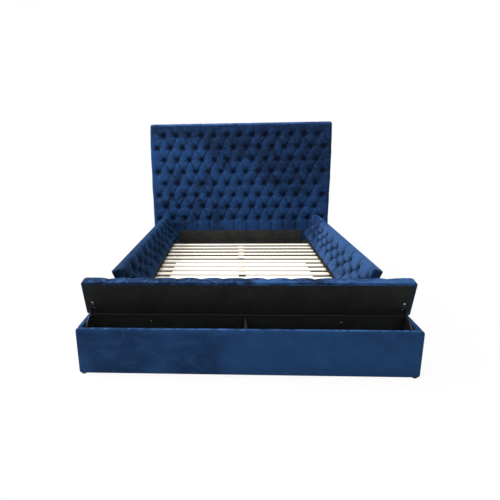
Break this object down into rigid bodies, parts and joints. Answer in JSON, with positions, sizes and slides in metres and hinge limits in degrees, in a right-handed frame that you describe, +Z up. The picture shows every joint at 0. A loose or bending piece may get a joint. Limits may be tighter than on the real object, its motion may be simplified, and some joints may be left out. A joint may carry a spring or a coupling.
{
  "type": "storage bed",
  "caption": "Tufted velvet storage bed with a tall headboard and lidded storage boxes at the foot and along both sides, lids shown open.",
  "frame": {"origin": "on the floor under the middle of the bed's outline", "axes": "+X to the right as seen from the foot, +Y from the foot to the headboard, +Z up"},
  "size_m": [2.16, 2.448, 1.64],
  "materials": {
    "velvet": "navy velvet upholstery",
    "lining": "black non-woven lining",
    "black_wood": "black painted timber",
    "board": "plywood",
    "pine": "pale pine",
    "black_steel": "black powder coat",
    "polished_rod": "polished steel",
    "black_plastic": "black moulded plastic",
    "screw_steel": "zinc-plated steel"
  },
  "bodies": {
    "bed_frame": {"headboard_board": "velvet", "headboard_pad": "velvet", "headboard_buttons": "velvet", "headboard_lower_panel": "lining", "foot_box_front": "velvet", "foot_box_side_left": "velvet", "foot_box_side_right": "velvet", "foot_box_back": "lining", "foot_box_floor": "lining", "foot_box_divider": "lining", "cross_rail": "velvet", "slats": "pine", "centre_rail": "black_wood", "centre_legs": "black_steel", "feet": "black_plastic", "strut_studs": "black_steel", "frame_screws": "screw_steel", "rail_left_outer": "velvet", "rail_left_inner": "lining", "rail_left_floor": "lining", "rail_left_head_end": "lining", "rail_left_ledge": "black_wood", "rail_right_outer": "velvet", "rail_right_inner": "lining", "rail_right_floor": "lining", "rail_right_head_end": "lining", "rail_right_ledge": "black_wood", "foot_lid_hinge_wall_leaf": "black_steel", "right_lid_hinge_wall_leaf": "black_steel", "left_lid_hinge_wall_leaf": "black_steel"},
    "foot_lid": {"foot_lid_board": "board", "foot_lid_lining": "lining", "foot_lid_pad": "velvet", "foot_lid_buttons": "velvet", "foot_lid_hinge_leaf": "black_steel", "foot_lid_brackets": "black_steel"},
    "strut_foot_left_tube": {"strut_foot_left_tube": "black_steel"},
    "strut_foot_left_rod": {"strut_foot_left_rod": "polished_rod"},
    "strut_foot_right_tube": {"strut_foot_right_tube": "black_steel"},
    "strut_foot_right_rod": {"strut_foot_right_rod": "polished_rod"},
    "right_lid": {"right_lid_board": "board", "right_lid_lining": "lining", "right_lid_pad": "velvet", "right_lid_buttons": "velvet", "right_lid_hinge_leaf": "black_steel", "right_lid_brackets": "black_steel"},
    "strut_right_foot_tube": {"strut_right_foot_tube": "black_steel"},
    "strut_right_foot_rod": {"strut_right_foot_rod": "polished_rod"},
    "strut_right_head_tube": {"strut_right_head_tube": "black_steel"},
    "strut_right_head_rod": {"strut_right_head_rod": "polished_rod"},
    "left_lid": {"left_lid_board": "board", "left_lid_lining": "lining", "left_lid_pad": "velvet", "left_lid_buttons": "velvet", "left_lid_hinge_leaf": "black_steel", "left_lid_brackets": "black_steel"},
    "strut_left_foot_tube": {"strut_left_foot_tube": "black_steel"},
    "strut_left_foot_rod": {"strut_left_foot_rod": "polished_rod"},
    "strut_left_head_tube": {"strut_left_head_tube": "black_steel"},
    "strut_left_head_rod": {"strut_left_head_rod": "polished_rod"}
  },
  "joints": [
    {"name": "foot_lid_hinge", "type": "hinge", "parent": "bed_frame", "child": "foot_lid", "pos_m": [0, -0.999, 0.3257], "axis": [1, 0, 0], "range_deg": [0, 77.4]},
    {"name": "strut_foot_left_swing", "type": "hinge", "parent": "bed_frame", "child": "strut_foot_left_tube", "pos_m": [-1.041, -1.159, 0.2797], "axis": [1, 0, 0], "range_deg": [-27.1, 0]},
    {"name": "strut_foot_left_slide", "type": "slide", "parent": "strut_foot_left_tube", "child": "strut_foot_left_rod", "axis": [0, 0.8176, 0.5759], "range_m": [-0.03478, 0]},
    {"name": "strut_foot_right_swing", "type": "hinge", "parent": "bed_frame", "child": "strut_foot_right_tube", "pos_m": [1.041, -1.159, 0.2797], "axis": [1, 0, 0], "range_deg": [-27.1, 0]},
    {"name": "strut_foot_right_slide", "type": "slide", "parent": "strut_foot_right_tube", "child": "strut_foot_right_rod", "axis": [0, 0.8176, 0.5759], "range_m": [-0.03478, 0]},
    {"name": "right_lid_hinge", "type": "hinge", "parent": "bed_frame", "child": "right_lid", "pos_m": [0.8085, 0.104, 0.3257], "axis": [0, 1, 0], "range_deg": [0, 67.5]},
    {"name": "strut_right_foot_swing", "type": "hinge", "parent": "bed_frame", "child": "strut_right_foot_tube", "pos_m": [0.9685, -0.902, 0.2797], "axis": [0, 1, 0], "range_deg": [-26.15, 0]},
    {"name": "strut_right_foot_slide", "type": "slide", "parent": "strut_right_foot_tube", "child": "strut_right_foot_rod", "axis": [-0.827, 0, 0.5622], "range_m": [-0.02555, 0]},
    {"name": "strut_right_head_swing", "type": "hinge", "parent": "bed_frame", "child": "strut_right_head_tube", "pos_m": [0.9685, 1.092, 0.2797], "axis": [0, 1, 0], "range_deg": [-26.15, 0]},
    {"name": "strut_right_head_slide", "type": "slide", "parent": "strut_right_head_tube", "child": "strut_right_head_rod", "axis": [-0.827, 0, 0.5622], "range_m": [-0.02555, 0]},
    {"name": "left_lid_hinge", "type": "hinge", "parent": "bed_frame", "child": "left_lid", "pos_m": [-0.8085, 0.104, 0.3257], "axis": [0, -1, 0], "range_deg": [0, 67.5]},
    {"name": "strut_left_foot_swing", "type": "hinge", "parent": "bed_frame", "child": "strut_left_foot_tube", "pos_m": [-0.9685, -0.902, 0.2797], "axis": [0, -1, 0], "range_deg": [-26.15, 0]},
    {"name": "strut_left_foot_slide", "type": "slide", "parent": "strut_left_foot_tube", "child": "strut_left_foot_rod", "axis": [0.827, 0, 0.5622], "range_m": [-0.02555, 0]},
    {"name": "strut_left_head_swing", "type": "hinge", "parent": "bed_frame", "child": "strut_left_head_tube", "pos_m": [-0.9685, 1.092, 0.2797], "axis": [0, -1, 0], "range_deg": [-26.15, 0]},
    {"name": "strut_left_head_slide", "type": "slide", "parent": "strut_left_head_tube", "child": "strut_left_head_rod", "axis": [0.827, 0, 0.5622], "range_m": [-0.02555, 0]}
  ],
  "couplings": [
    {"joint": "strut_foot_left_swing", "follows": "foot_lid_hinge", "ratio": -0.34372},
    {"joint": "strut_foot_left_slide", "follows": "foot_lid_hinge", "m_per_rad": -0.025373},
    {"joint": "strut_foot_right_swing", "follows": "foot_lid_hinge", "ratio": -0.34372},
    {"joint": "strut_foot_right_slide", "follows": "foot_lid_hinge", "m_per_rad": -0.025373},
    {"joint": "strut_right_foot_swing", "follows": "right_lid_hinge", "ratio": -0.38002},
    {"joint": "strut_right_foot_slide", "follows": "right_lid_hinge", "m_per_rad": -0.021264},
    {"joint": "strut_right_head_swing", "follows": "right_lid_hinge", "ratio": -0.38002},
    {"joint": "strut_right_head_slide", "follows": "right_lid_hinge", "m_per_rad": -0.021264},
    {"joint": "strut_left_foot_swing", "follows": "left_lid_hinge", "ratio": -0.38002},
    {"joint": "strut_left_foot_slide", "follows": "left_lid_hinge", "m_per_rad": -0.021264},
    {"joint": "strut_left_head_swing", "follows": "left_lid_hinge", "ratio": -0.38002},
    {"joint": "strut_left_head_slide", "follows": "left_lid_hinge", "m_per_rad": -0.021264}
  ]
}
